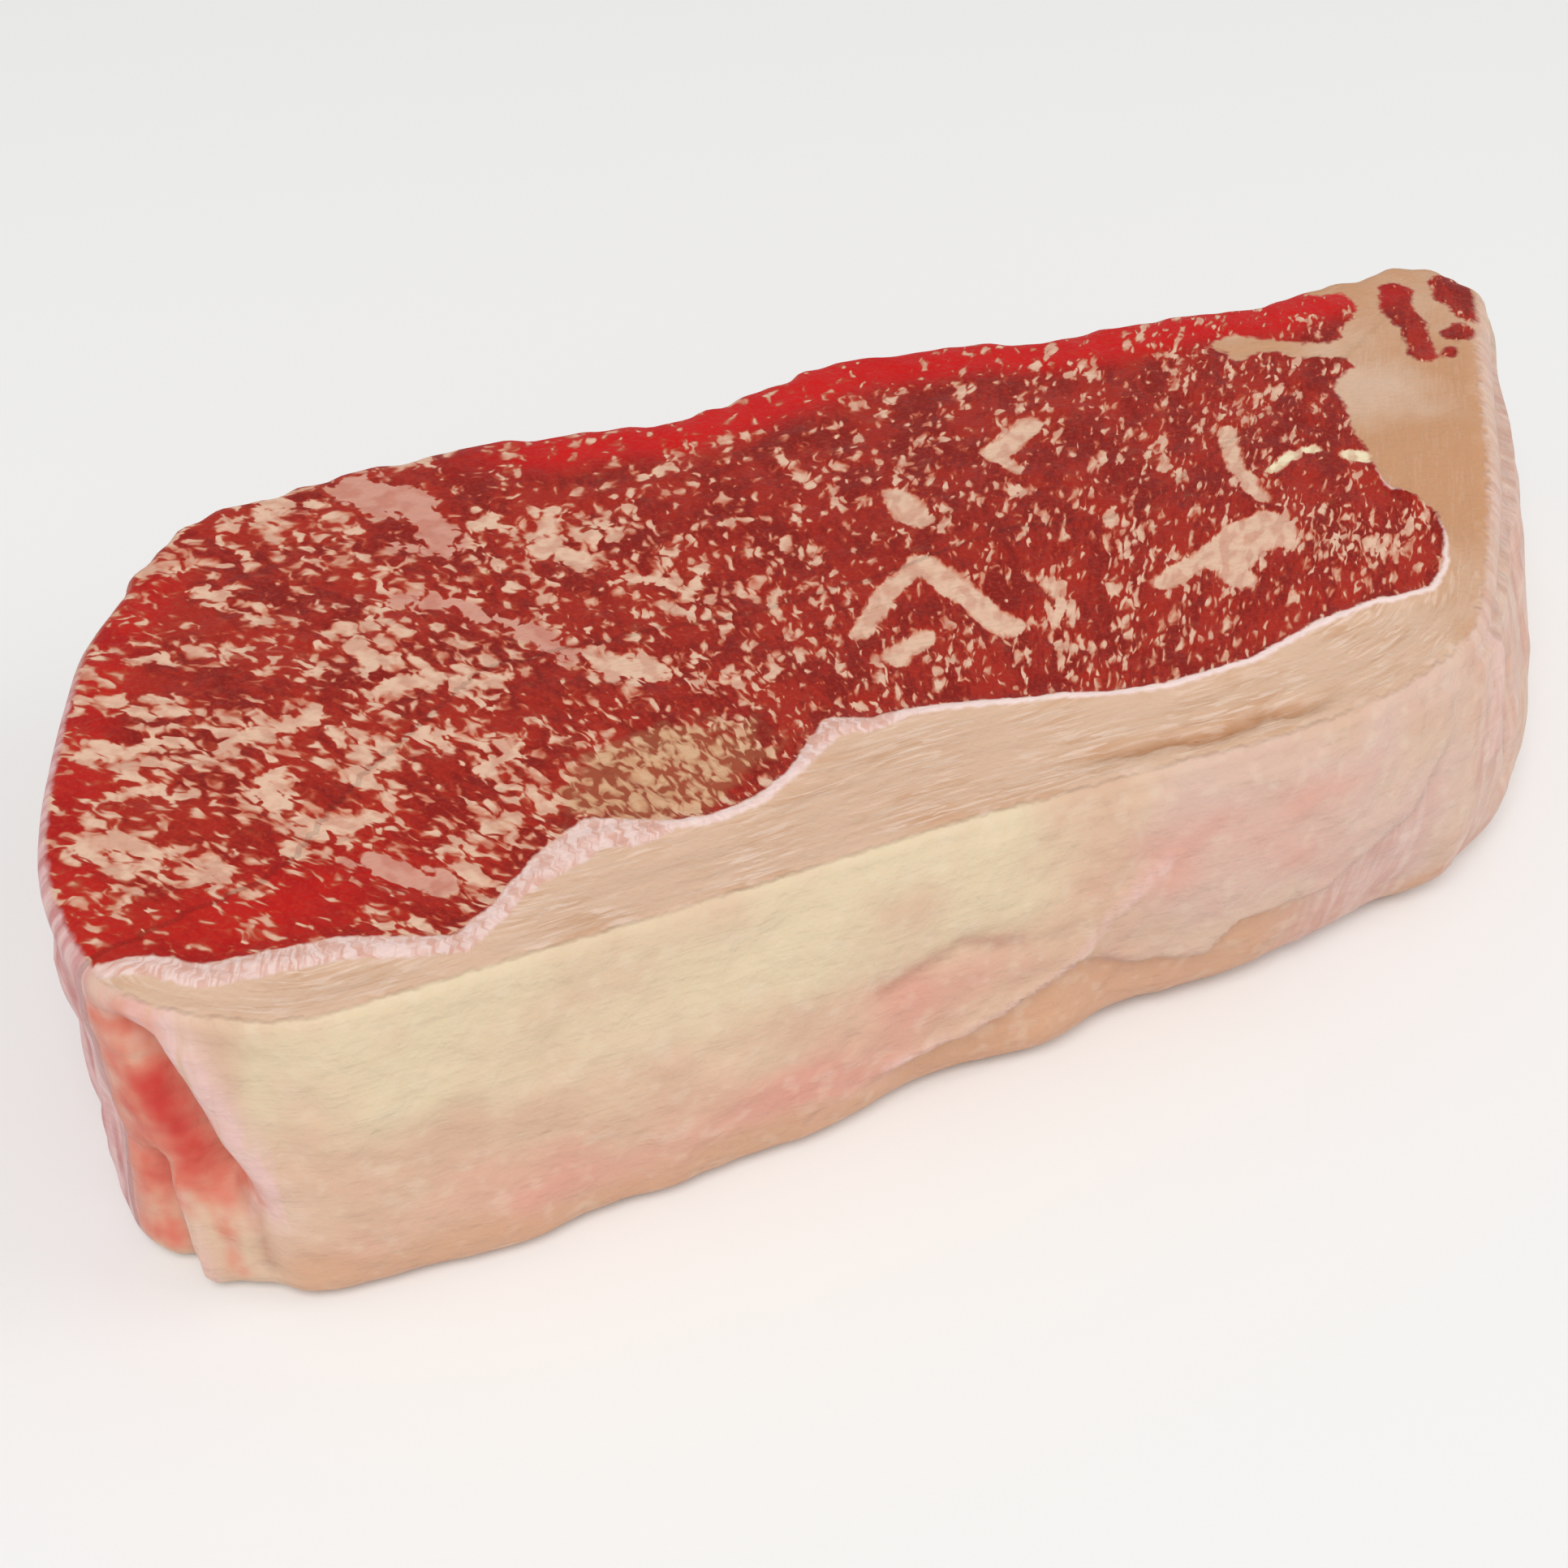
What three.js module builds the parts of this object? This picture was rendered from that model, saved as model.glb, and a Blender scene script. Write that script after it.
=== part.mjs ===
import * as THREE from "three";

// Raw sirloin steak: one thick slice of the loin with two level cut faces. A thick fat cap runs
// along its front and round the narrower right end. Millimetres, +Z up, X along the steak.

const THICKNESS = 37;
const LEAN_SWELL = 0.45;
const CAP_DROP = 1.1;
const CLEFT_DEPTH = 3.4;
const FLAP_SETBACK = 1.1;
const END_PLEAT = 0.7;
const RIM_WAVE = 0.45;

const TOP_RINGS = 7;
const RIM_STEPS = 4;
const WALL_STEPS = 12;
const FOOT_STEPS = 4;
const FINE_STEP = 1.8;
const FRONT_STEP = 3.0;
const BACK_STEP = 4.6;

// The cut face from above, counter-clockwise from the near left corner: the fat cap's front,
// the slanting right end, the tail corner, the trimmed back with its dips, the rounded left end.
const OUTLINE = [
  [-98, -20.2], [-96, -25.8], [-91.8, -30.6], [-84, -35.9], [-75, -37.5], [-60, -39], [-45, -40.6],
  [-30, -42], [-15, -43.1], [0, -44.6], [10, -46.6], [20, -47.6], [30, -47.4], [38, -46.2],
  [45.5, -43.5], [52.5, -38.5], [60.5, -31], [70.5, -21], [80.5, -9.5], [90.5, 2], [97.6, 10.5],
  [98.7, 18.2], [93.8, 22.9], [84, 23.9], [70, 24.4], [60.5, 27], [50.5, 28.8], [40.5, 30.5],
  [28.5, 36], [13, 39.4], [2, 37.6], [-6, 37.2], [-13.5, 37.5], [-19.5, 40.5], [-30, 42.8],
  [-42, 45], [-52, 45.7], [-65, 44.9], [-71, 41.3], [-77.2, 34.7], [-83.7, 27.1], [-88.1, 19],
  [-92, 10.7], [-95, 3.5], [-97.4, -4.4], [-98.3, -12.1],
];

// Wall sections at hundredths of the way round: how far the side stands out at one to five
// fifths of the thickness down, then the radius of the lower edge and of the upper edge.
const SECTIONS = [
  [0, 0.2, -0.1, -0.4, 0.5, 1.5, 2.5, 2.0],
  [1.3, 0.2, -0.3, -1.0, -0.5, 0.5, 3.0, 1.6],
  [3, 0.2, 0.3, 0.3, 0.5, 0.5, 3.0, 1.5],
  [6.5, 0.6, 1.0, 1.2, 1.0, 0.5, 3.0, 1.5],
  [12.5, 0.8, 1.6, 2.1, 1.5, 0.5, 3.5, 1.5],
  [17, 1.0, 1.5, 1.5, 1.0, 0.0, 4.0, 1.5],
  [20, 1.2, 1.6, 1.3, 0.5, 0.0, 4.5, 1.6],
  [23.2, 1.2, 1.5, 0.8, 0.0, -0.5, 5.5, 1.8],
  [27.8, 1.4, 2.0, 1.4, 0.5, -1.5, 7.0, 2.0],
  [30, 1.6, 2.4, 2.6, 1.0, -2.5, 6.5, 2.2],
  [31.8, 1.8, 3.0, 3.8, 3.5, 0.0, 6.0, 2.4],
  [34, 2.0, 4.2, 6.0, 6.5, 4.0, 6.0, 2.8],
  [36.5, 2.2, 4.8, 7.0, 8.0, 6.5, 5.0, 3.4],
  [39, 2.7, 4.6, 6.6, 7.5, 7.0, 5.0, 4.0],
  [42, 2.9, 4.8, 6.2, 7.0, 7.0, 4.0, 4.5],
  [45, 1.5, 3.0, 4.2, 6.0, 6.0, 4.0, 4.4],
  [51.5, 0.6, 1.2, 1.6, 2.5, 2.0, 4.0, 2.2],
  [63, 0.8, 1.2, 1.2, 1.5, 0.5, 4.0, 2.0],
  [80, 0.8, 1.0, 1.0, 1.0, 0.5, 4.0, 2.0],
  [87, 0.0, -0.4, -0.6, -1.0, -1.0, 4.0, 2.0],
  [93, -0.2, -0.4, -1.0, -1.5, -1.5, 4.0, 2.0],
  [97, -0.7, -0.6, -0.7, -0.5, -1.0, 3.5, 2.0],
];

// Folds of the side, each a line of [hundredths round, depth] with a half-width and a height.
const FOLDS = [
  { line: [[1.2, 3], [1.6, 9], [2.1, 17], [2.5, 22]], half: 2.6, height: -CLEFT_DEPTH },
  { line: [[2.4, 4], [2.9, 12], [3.5, 20]], half: 2.4, height: 0.9 },
  { line: [[1.5, 24], [1.7, 30], [2.0, 35]], half: 1.5, height: 1.3 },
  { line: [[0.8, 23], [1.1, 29], [1.4, 35]], half: 1.6, height: -1.2 },
  { line: [[2.6, 24], [3.1, 26], [3.2, 33]], half: 1.8, height: -0.8 },
  { line: [[32.6, 3], [32.2, 10], [32.2, 17]], half: 1.7, height: 0.9 },
  { line: [[33.6, 12], [33.4, 20], [33.5, 26]], half: 1.6, height: -1.4 },
  { line: [[37.4, 6], [36.8, 15], [36.9, 25]], half: 2.2, height: -0.9 },
  { line: [[41.5, 7], [41.9, 16], [41.2, 27]], half: 2.4, height: -0.8 },
  { line: [[16.2, 18], [18, 14.5], [19.4, 17]], half: 1.8, height: -0.6 },
];

// Swells and dips of the lower edge: hundredths round, half-width and height.
const FOOT_SWELLS = [
  [3.6, 0.8, 0.6], [8.2, 1.2, 1.1], [11.4, 0.8, 0.6], [14.7, 0.7, 0.7], [20.4, 1.4, 1.8],
  [25, 1.2, 0.4], [29, 1.2, -0.5], [55, 2.5, 0.8], [61, 2, -0.6], [69, 2.6, 0.9],
  [76, 2.2, -0.7], [83, 2, 0.7], [90, 2, 0.4],
];

// Lower edge of the skin that overlaps the tan fat below it, as [hundredths round, depth].
const FLAP_EDGE = [
  [15.5, 31], [19, 27.5], [21, 23], [22.5, 27], [24.2, 28.5], [25, 24], [27.2, 24],
  [28, 20.5], [29.2, 17.5], [30.2, 11], [30.8, 5],
];

const mix = (a, b, t) => a + (b - a) * t;
const clamp01 = (t) => Math.min(1, Math.max(0, t));
const ease = (t) => clamp01(t) ** 2 * (3 - 2 * clamp01(t));

function sectionAt(round) {
  const next = SECTIONS.findIndex((row) => row[0] > round);
  const a = SECTIONS[next < 0 ? SECTIONS.length - 1 : next - 1];
  const b = next < 0 ? [100, ...SECTIONS[0].slice(1)] : SECTIONS[next];
  const t = ease((round - a[0]) / (b[0] - a[0]));
  return a.slice(1).map((value, i) => mix(value, b[i + 1], t));
}

// Smooth curve through the rim and the five levels of a section.
function standOut(section, part) {
  const levels = [0, ...section.slice(0, 5)];
  const knots = [2 * levels[0] - levels[1], ...levels, 2 * levels[5] - levels[4]];
  const i = Math.min(4, Math.floor(part * 5));
  const f = part * 5 - i;
  const [p0, p1, p2, p3] = knots.slice(i, i + 4);
  const curve = 2 * p0 - 5 * p1 + 4 * p2 - p3;
  return 0.5 * (2 * p1 + (p2 - p0) * f + curve * f * f + (3 * p1 - p0 - 3 * p2 + p3) * f ** 3);
}

function foldRelief(round, depth, perimeter) {
  let relief = 0;
  for (const { line, half, height } of FOLDS) {
    let nearest = Infinity;
    for (let i = 0; i + 1 < line.length; i++) {
      const [ax, ay] = [line[i][0] * perimeter / 100, line[i][1]];
      const [bx, by] = [line[i + 1][0] * perimeter / 100, line[i + 1][1]];
      const [px, py] = [round * perimeter / 100 - ax, depth - ay];
      const [dx, dy] = [bx - ax, by - ay];
      const t = clamp01((px * dx + py * dy) / (dx * dx + dy * dy));
      nearest = Math.min(nearest, Math.hypot(px - t * dx, py - t * dy));
    }
    relief += height * Math.exp(-((nearest / half) ** 2));
  }
  return relief;
}

function flapRelief(round, depth) {
  const next = FLAP_EDGE.findIndex((row) => row[0] > round);
  if (next < 1) return 0;
  const [a, b] = [FLAP_EDGE[next - 1], FLAP_EDGE[next]];
  const edge = mix(a[1], b[1], (round - a[0]) / (b[0] - a[0]));
  const fade = ease((round - 15.5) / 2) * ease((30.8 - round) / 1.5);
  return -FLAP_SETBACK * fade * ease((depth - edge + 0.6) / 1.8);
}

// The membrane of the left end hangs in upright pleats that lean as they go down.
function pleatRelief(round, depth) {
  const fade = ease((round - 88) / 3) * ease((100.5 - round) / 1.5);
  return END_PLEAT * fade * Math.sin(round * 4.1 + depth * 0.09) * Math.sin(depth * 0.16 + 0.8);
}

function rimWave(round) {
  const cut = Math.sin(round * 1.9) + 0.7 * Math.sin(round * 3.7 + 1) + 0.5 * Math.sin(round * 6.1);
  return RIM_WAVE * cut * ease((round - 46) / 3) * ease((90 - round) / 4);
}

function footSwell(round) {
  const swell = ([at, half, height]) => height * Math.exp(-(((round - at) / half) ** 2));
  return FOOT_SWELLS.reduce((sum, row) => sum + swell(row), 0);
}

function capDrop(round) {
  return CAP_DROP * ease((round - 17) / 5) * ease((41 - round) / 5);
}

// Height of the upper face; reach is 1 at the rim and 0 in the middle.
function topHeight(x, y, round, reach) {
  const swell = Math.sin(x / 13 + 0.4) * Math.cos(y / 9 - 0.3) + 0.5 * Math.sin((x - y) / 7);
  const drop = capDrop(round) * ease((reach - 0.72) / 0.28);
  return THICKNESS + LEAN_SWELL * swell * (1 - 0.6 * reach) - drop;
}

function rimPlaces(perimeter) {
  const places = [];
  for (let round = 0; round < 100;) {
    places.push(round);
    const fine = round < 5 || round > 96.5;
    const step = fine ? FINE_STEP : round < 47 ? FRONT_STEP : BACK_STEP;
    round += (100 * step) / perimeter;
  }
  if ((100 - places.at(-1)) * perimeter < 50 * FINE_STEP) places.pop();
  return places;
}

function sectionRows(curve, round, perimeter) {
  const section = sectionAt(round);
  const [footRadius, rimRadius] = [section[5], section[6]];
  const start = curve.getPointAt(round / 100);
  const tangent = curve.getTangentAt(round / 100);
  const outward = new THREE.Vector3(tangent.y, -tangent.x, 0).normalize();
  start.addScaledVector(outward, rimWave(round));
  const top = topHeight(start.x, start.y, round, 1);
  const rows = [];
  const put = (out, z) => rows.push(start.clone().addScaledVector(outward, out).setZ(z));
  for (let i = 0; i < RIM_STEPS; i++) {
    const angle = (i / RIM_STEPS) * Math.PI / 2;
    put(rimRadius * (Math.sin(angle) - 1), top - rimRadius * (1 - Math.cos(angle)));
  }
  const sideAt = (depth) => {
    const part = clamp01(depth / THICKNESS);
    const relief = foldRelief(round, depth, perimeter) + flapRelief(round, depth);
    const shown = ease((depth - rimRadius) / 3);
    const swell = footSwell(round) * ease((depth - 22) / 12);
    return standOut(section, part) + (relief + pleatRelief(round, depth)) * shown + swell;
  };
  const [upper, lower] = [THICKNESS - top + rimRadius, THICKNESS - footRadius];
  for (let i = 0; i <= WALL_STEPS; i++) {
    const depth = mix(upper, lower, i / WALL_STEPS);
    put(i === 0 ? 0 : sideAt(depth), THICKNESS - depth);
  }
  const side = sideAt(lower);
  for (let i = 1; i <= FOOT_STEPS; i++) {
    const angle = (i / FOOT_STEPS) * Math.PI / 2;
    put(side - footRadius * (1 - Math.cos(angle)), footRadius * (1 - Math.sin(angle)));
  }
  return rows;
}

function steakGeometry() {
  const rim = OUTLINE.map(([x, y]) => new THREE.Vector3(x, y, 0));
  const curve = new THREE.CatmullRomCurve3(rim, true, "catmullrom", 0.5);
  curve.arcLengthDivisions = 2000;
  const perimeter = curve.getLength();
  const places = rimPlaces(perimeter);
  const sides = places.map((round) => sectionRows(curve, round, perimeter));
  const count = places.length;
  const rowCount = sides[0].length;
  const points = [new THREE.Vector3(0, 0, topHeight(0, 0, 0, 0))];
  const triangles = [];
  for (let ring = 1; ring < TOP_RINGS; ring++) {
    const reach = ring / TOP_RINGS;
    sides.forEach((rows, i) => {
      const point = rows[0].clone().multiplyScalar(reach);
      points.push(point.setZ(topHeight(point.x, point.y, places[i], reach)));
    });
  }
  for (let row = 0; row < rowCount; row++) {
    sides.forEach((rows) => points.push(rows[row]));
  }
  for (let i = 0; i < count; i++) triangles.push(0, 1 + i, 1 + ((i + 1) % count));
  const bands = TOP_RINGS - 1 + rowCount;
  for (let band = 0; band + 1 < bands; band++) {
    for (let i = 0; i < count; i++) {
      const [a, b] = [1 + band * count + i, 1 + band * count + ((i + 1) % count)];
      triangles.push(a, a + count, b, b, a + count, b + count);
    }
  }
  const base = 1 + (bands - 1) * count;
  const foot = sides.map((rows) => new THREE.Vector2(rows[rowCount - 1].x, rows[rowCount - 1].y));
  for (const [a, b, c] of THREE.ShapeUtils.triangulateShape(foot, [])) {
    triangles.push(base + a, base + c, base + b);
  }
  const geometry = new THREE.BufferGeometry();
  geometry.setAttribute("position", new THREE.Float32BufferAttribute(
    points.flatMap((point) => point.toArray()), 3));
  geometry.setIndex(triangles);
  geometry.computeBoundingBox();
  const middle = geometry.boundingBox.getCenter(new THREE.Vector3());
  geometry.translate(-middle.x, -middle.y, -geometry.boundingBox.min.z);
  geometry.computeVertexNormals();
  return geometry;
}

const rawBeef = new THREE.MeshStandardMaterial({ color: 0xb0604e, roughness: 0.45, metalness: 0 });
const steak = new THREE.Mesh(steakGeometry(), rawBeef);
steak.name = "steak";

const part = new THREE.Group();
part.name = "raw_sirloin_steak";
part.add(steak);

export default part;
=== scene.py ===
"""Raw sirloin steak: a dense visual skin over the CAD frame, its materials, stage and camera.

Shapes are worked out in millimetres in the slice's own frame, in which the cut face's outline
was measured, and moved to the row frame in metres when the mesh is made.
"""

import math

import bpy
import numpy as np
from mathutils import Matrix, Vector, geometry

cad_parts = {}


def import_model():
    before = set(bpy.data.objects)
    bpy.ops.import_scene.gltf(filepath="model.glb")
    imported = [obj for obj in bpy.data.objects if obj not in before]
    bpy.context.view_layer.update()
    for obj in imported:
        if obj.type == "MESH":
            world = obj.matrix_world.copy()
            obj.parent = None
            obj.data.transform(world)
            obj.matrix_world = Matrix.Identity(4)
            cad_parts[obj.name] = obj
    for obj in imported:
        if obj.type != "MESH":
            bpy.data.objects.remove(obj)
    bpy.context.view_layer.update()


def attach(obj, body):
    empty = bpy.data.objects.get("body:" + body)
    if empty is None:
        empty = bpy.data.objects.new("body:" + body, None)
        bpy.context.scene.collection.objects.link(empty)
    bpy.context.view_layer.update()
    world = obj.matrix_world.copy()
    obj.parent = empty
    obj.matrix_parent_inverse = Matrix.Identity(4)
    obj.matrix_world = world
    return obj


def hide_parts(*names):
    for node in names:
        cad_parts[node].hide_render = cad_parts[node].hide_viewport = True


# The slice: its thickness, and the middle of its box in its own frame.
THICKNESS = 37.0
MIDDLE = (1.845, -1.329)

# Heights and depths of the forms on it.
LEAN_SWELL = 0.45
CAP_DROP = 1.1
CLEFT_DEPTH = 3.4
FLAP_SETBACK = 1.1
END_PLEAT = 0.7
RIM_WAVE = 0.45
SILVER_RIDGE = 0.55
GROOVE_DEPTH = 0.8
CREASE_HEIGHT = 0.45
PIT_DEPTH = 0.3

# The mesh: steps round the rim and down the side, and the pitch of the cut faces' points.
AROUND = 540
RIM_STEPS = 6
WALL_STEPS = 42
FOOT_STEPS = 6
TOP_GRID = 0.7
UNDER_GRID = 1.15

# The bake map: room per millimetre of each cut face, and the two strips of the side.
TOP_ROOM = 0.00476
UNDER_ROOM = 0.0024
STRIP_LENGTH = 0.71
STRIP_HEIGHT = 0.235
STRIP_PITCH = 0.25
MAP_MARGIN = 0.01

# The photo's camera: degrees down and to the left, distance, and the point that it looks at.
CAMERA_DOWN = 40
CAMERA_TURN = -30
CAMERA_DISTANCE = 219.46
CAMERA_TARGET = (-31.41, -29.15, THICKNESS)
CAMERA_LENS = 52.17

# The cut face from above, counter-clockwise from the near left corner: the fat cap's front,
# the slanting right end, the tail corner, the trimmed back with its dips, the rounded left end.
OUTLINE = [
    (-98, -20.2), (-96, -25.8), (-91.8, -30.6), (-84, -35.9), (-75, -37.5), (-60, -39),
    (-45, -40.6), (-30, -42), (-15, -43.1), (0, -44.6), (10, -46.6), (20, -47.6), (30, -47.4),
    (38, -46.2), (45.5, -43.5), (52.5, -38.5), (60.5, -31), (70.5, -21), (80.5, -9.5), (90.5, 2),
    (97.6, 10.5), (98.7, 18.2), (93.8, 22.9), (84, 23.9), (70, 24.4), (60.5, 27), (50.5, 28.8),
    (40.5, 30.5), (28.5, 36), (13, 39.4), (2, 37.6), (-6, 37.2), (-13.5, 37.5), (-19.5, 40.5),
    (-30, 42.8), (-42, 45), (-52, 45.7), (-65, 44.9), (-71, 41.3), (-77.2, 34.7), (-83.7, 27.1),
    (-88.1, 19), (-92, 10.7), (-95, 3.5), (-97.4, -4.4), (-98.3, -12.1),
]

# Wall sections at hundredths of the way round: how far the side stands out at one to five
# fifths of the thickness down, then the radius of the lower edge and of the upper edge.
SECTIONS = [
    (0, 0.2, -0.1, -0.4, 0.5, 1.5, 2.5, 2),
    (1.3, 0.2, -0.3, -1, -0.5, 0.5, 3, 1.6),
    (3, 0.2, 0.3, 0.3, 0.5, 0.5, 3, 1.5),
    (6.5, 0.6, 1, 1.2, 1, 0.5, 3, 1.5),
    (12.5, 0.8, 1.6, 2.1, 1.5, 0.5, 3.5, 1.5),
    (17, 1, 1.5, 1.5, 1, 0, 4, 1.5),
    (20, 1.2, 1.6, 1.3, 0.5, 0, 4.5, 1.6),
    (23.2, 1.2, 1.5, 0.8, 0, -0.5, 5.5, 1.8),
    (27.8, 1.4, 2, 1.4, 0.5, -1.5, 7, 2),
    (30, 1.6, 2.4, 2.6, 1, -2.5, 6.5, 2.2),
    (31.8, 1.8, 3, 3.8, 3.5, 0, 6, 2.4),
    (34, 2, 4.2, 6, 6.5, 4, 6, 2.8),
    (36.5, 2.2, 4.8, 7, 8, 6.5, 5, 3.4),
    (39, 2.7, 4.6, 6.6, 7.5, 7, 5, 4),
    (42, 2.9, 4.8, 6.2, 7, 7, 4, 4.5),
    (45, 1.5, 3, 4.2, 6, 6, 4, 4.4),
    (51.5, 0.6, 1.2, 1.6, 2.5, 2, 4, 2.2),
    (63, 0.8, 1.2, 1.2, 1.5, 0.5, 4, 2),
    (80, 0.8, 1, 1, 1, 0.5, 4, 2),
    (87, 0, -0.4, -0.6, -1, -1, 4, 2),
    (93, -0.2, -0.4, -1, -1.5, -1.5, 4, 2),
    (97, -0.7, -0.6, -0.7, -0.5, -1, 3.5, 2),
    (100, 0.2, -0.1, -0.4, 0.5, 1.5, 2.5, 2),
]

# Folds of the side: a line of (hundredths round, depth), its half-width and its height.
FOLDS = [
    ([(1.2, 3), (1.6, 9), (2.1, 17), (2.5, 22)], 2.6, -CLEFT_DEPTH),
    ([(2.4, 4), (2.9, 12), (3.5, 20)], 2.4, 0.9),
    ([(1.5, 24), (1.7, 30), (2, 35)], 1.5, 1.3),
    ([(0.8, 23), (1.1, 29), (1.4, 35)], 1.6, -1.2),
    ([(2.6, 24), (3.1, 26), (3.2, 33)], 1.8, -0.8),
    ([(32.6, 3), (32.2, 10), (32.2, 17)], 1.7, 0.9),
    ([(33.6, 12), (33.4, 20), (33.5, 26)], 1.6, -1.4),
    ([(37.4, 6), (36.8, 15), (36.9, 25)], 2.2, -0.9),
    ([(41.5, 7), (41.9, 16), (41.2, 27)], 2.4, -0.8),
    ([(16.2, 18), (18, 14.5), (19.4, 17)], 1.8, -0.6),
]

# A fine raised crease in the skin over the cap, as (hundredths round, depth).
SKIN_CREASE = [(22.8, 12), (21.4, 18), (20.8, 23), (19.1, 27), (16.4, 29)]

# Swells and dips of the lower edge: hundredths round, half-width and height.
FOOT_SWELLS = [
    (3.6, 0.8, 0.6), (8.2, 1.2, 1.1), (11.4, 0.8, 0.6), (14.7, 0.7, 0.7), (20.4, 1.4, 1.8),
    (25, 1.2, 0.4), (29, 1.2, -0.5), (55, 2.5, 0.8), (61, 2, -0.6), (69, 2.6, 0.9),
    (76, 2.2, -0.7), (83, 2, 0.7), (90, 2, 0.4),
]

# Lower edge of the skin that overlaps the tan fat below it, as (hundredths round, depth).
FLAP_EDGE = [
    (15.5, 31), (19, 27.5), (21, 23), (22.5, 27), (24.2, 28.5), (25, 24), (27.2, 24),
    (28, 20.5), (29.2, 17.5), (30.2, 11), (30.8, 5),
]

# Blood in the cleft: strength, half-width and a line of (hundredths round, depth).
BLOOD = [
    (0.68, 5.2, FOLDS[0][0]), (0.98, 3.6, [(1.2, 11), (1.5, 16), (1.8, 21)]),
    (0.62, 4.8, [(0.55, 5), (0.9, 31)]),
]

# The cleft's pale lip and the bloody slit below it, as (hundredths round, depth).
CLEFT_LIP = [(1.9, 2), (2.5, 11), (3.3, 24)]
CLEFT_SLIT = [(2.3, 24), (2.5, 34)]

# Rosy spots of the side: hundredths round, depth, half-sizes in both, and strength.
ROSY_SPOTS = [
    (17.5, 20, 2.2, 5, 0.85), (14.5, 27, 2, 4, 0.6), (9, 24, 2.5, 5, 0.3),
    (22.5, 13, 2.2, 6, 0.5), (25.5, 8, 2, 5, 0.4), (4.2, 14, 0.8, 10, 0.45),
    (26.5, 16, 2, 5, 0.35), (11, 30, 4, 4, 0.3),
]

# Where the lean meets the fat cap and the fat of the tail, from the left end to the back.
LEAN_EDGE = [
    (-104, -17), (-97, -20.5), (-92, -22), (-88, -25.5), (-82, -26.5), (-76, -28), (-72, -30.5),
    (-67.5, -33), (-63, -31), (-60, -29), (-56, -26.5), (-50.5, -24.5), (-47, -26.5),
    (-44, -28.7), (-40, -30), (-35, -30), (-30, -28), (-26, -25), (-23, -23), (-19, -25.5),
    (-15, -26), (-10, -27.5), (-5, -29.5), (0, -31), (4, -33), (10, -35), (20, -36), (30, -34.5),
    (38, -34), (42, -34.6), (46, -34.8), (50, -32.5), (54, -28.5), (57, -23.5), (56.5, -20),
    (54.5, -18), (56, -14.5), (58, -11), (60, -6), (62.5, -2), (64, 2.2), (67, 4.4), (70, 5),
    (70.3, 7.4), (67, 9.6), (65, 10), (63.6, 13.2), (60.5, 13.8), (57.4, 13), (58.4, 15.6),
    (57.4, 18.2), (59.5, 18.8), (62, 18.6), (64, 16.4), (66.5, 14), (69.5, 11.3), (72.5, 11.2),
    (75.5, 13.4), (79, 15.5), (80.8, 18), (81, 20.6), (77.5, 21.2), (76, 30),
    (58, 36), (28, 45), (0, 45), (-50, 55), (-80, 45), (-106, 10),
]

# Lean that lies apart in the fat of the tail: half-width, then x and y of its line's points.
LEAN_ISLANDS = [
    (2.1, 87.6, 17.6, 84.2, 13.6, 83.2, 9.8), (1.7, 83.2, 9.8, 80.8, 5.6, 79, 3.2),
    (2.7, 95, 15.6, 93, 12.5), (2, 93, 12, 91.5, 8), (1.8, 86.2, 5, 87.8, 5.2),
    (0.9, 81.6, 1.6, 83, 2),
]

# Width of the silver skin between the lean and the cap, as (place along the slice, width).
SILVER_WIDTHS = [
    (-98, 1.5), (-90, 3.2), (-80, 3.4), (-70, 2.8), (-60, 2.2), (-53, 4.5), (-48, 4),
    (-44, 1.5), (-30, 1.4), (-23, 2.8), (-16, 1.5), (-5, 1.1), (30, 1), (50, 0.9),
    (54, 0.5), (57, 0),
]

# Patches that are leaner or fatter than the meat round them: middle, half-sizes and change.
FAT_PATCHES = [
    (-78, -20, 14, 7, -0.4), (-72, 26, 17, 14, -1), (50, -18, 9, 7, -0.5),
    (-80, 14, 14, 12, -0.5), (-26, 4, 12, 16, 0.5), (55, -22, 12, 8, -0.5),
]

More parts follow.
